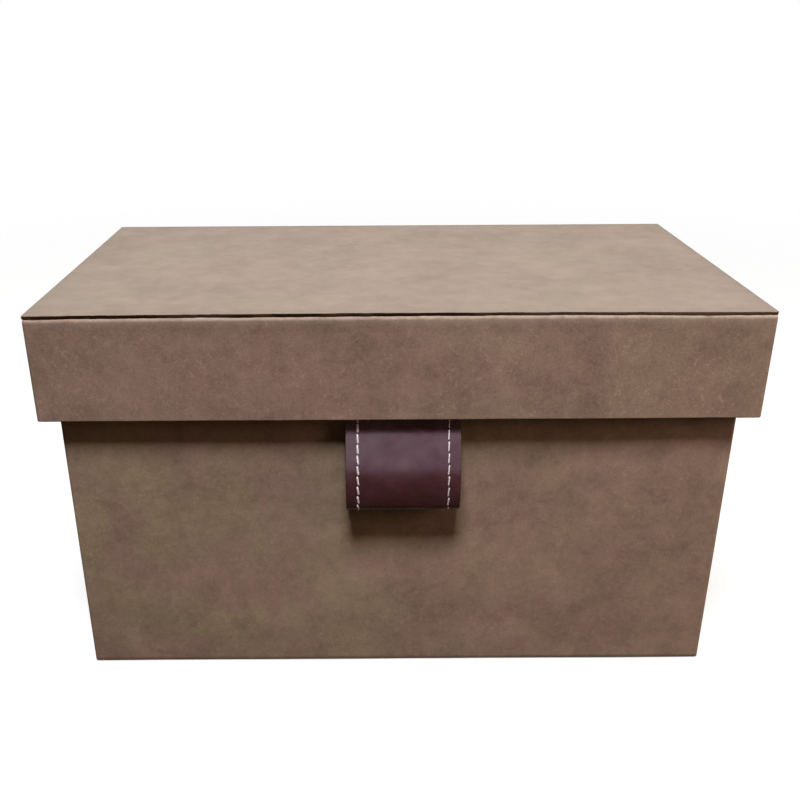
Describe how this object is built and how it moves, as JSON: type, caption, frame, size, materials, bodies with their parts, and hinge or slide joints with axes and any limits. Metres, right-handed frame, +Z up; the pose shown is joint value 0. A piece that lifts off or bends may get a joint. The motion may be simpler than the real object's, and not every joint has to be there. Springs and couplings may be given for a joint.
{
  "type": "photo storage box",
  "caption": "Rectangular storage box with a deep lift-off lid, wrapped in brown leatherette over board, with a stitched leather pull tab hanging from the lid's front edge.",
  "frame": {"origin": "centre of the flat underside that the closed box stands on", "axes": "+X to the right along the long side, seen from the pull tab's side; +Y to the back, away from the pull tab; +Z up, out of the lid's top"},
  "size_m": [0.32, 0.1849, 0.1843],
  "materials": {
    "leatherette": "warm brown suede-look leatherette, softly mottled, satin",
    "greyboard": "bare grey bookbinder's board",
    "lining_card": "card faced with dark brown lining paper",
    "base_paper": "matt dark brown paper",
    "tab_leather": "smooth burgundy leather, semi-gloss",
    "tab_backing": "dark flesh-side leather, matt",
    "thread": "off-white twisted thread"
  },
  "bodies": {
    "box": {"base_board": "greyboard", "front_wall_board": "greyboard", "back_wall_board": "greyboard", "left_wall_board": "greyboard", "right_wall_board": "greyboard", "body_cover": "leatherette", "base_infill_card": "greyboard", "base_sheet": "base_paper", "floor_lining": "lining_card", "front_wall_lining": "lining_card", "back_wall_lining": "lining_card", "left_wall_lining": "lining_card", "right_wall_lining": "lining_card"},
    "lid": {"lid_top_board": "greyboard", "lid_front_board": "greyboard", "lid_back_board": "greyboard", "lid_left_board": "greyboard", "lid_right_board": "greyboard", "lid_skirt_cover": "leatherette", "lid_infill_card": "greyboard", "lid_top_cover": "leatherette", "lid_ceiling_lining": "lining_card", "lid_front_lining": "lining_card", "lid_back_lining": "lining_card", "lid_left_lining": "lining_card", "lid_right_lining": "lining_card", "tab_tongue_leather": "tab_leather", "tab_tongue_backing": "tab_backing"},
    "pull_tab": {"tab_loop_leather": "tab_leather", "tab_loop_backing": "tab_backing", "tab_stitching_left": "thread", "tab_stitching_right": "thread"}
  },
  "joints": [
    {"name": "lid_lift", "type": "slide", "parent": "box", "child": "lid", "axis": [0, 0, 1], "range_m": [0, 0.2]},
    {"name": "tab_swing", "type": "hinge", "parent": "lid", "child": "pull_tab", "pos_m": [0.002, -0.0851, 0.1335], "axis": [-1, 0, 0], "range_deg": [0, 80]}
  ]
}
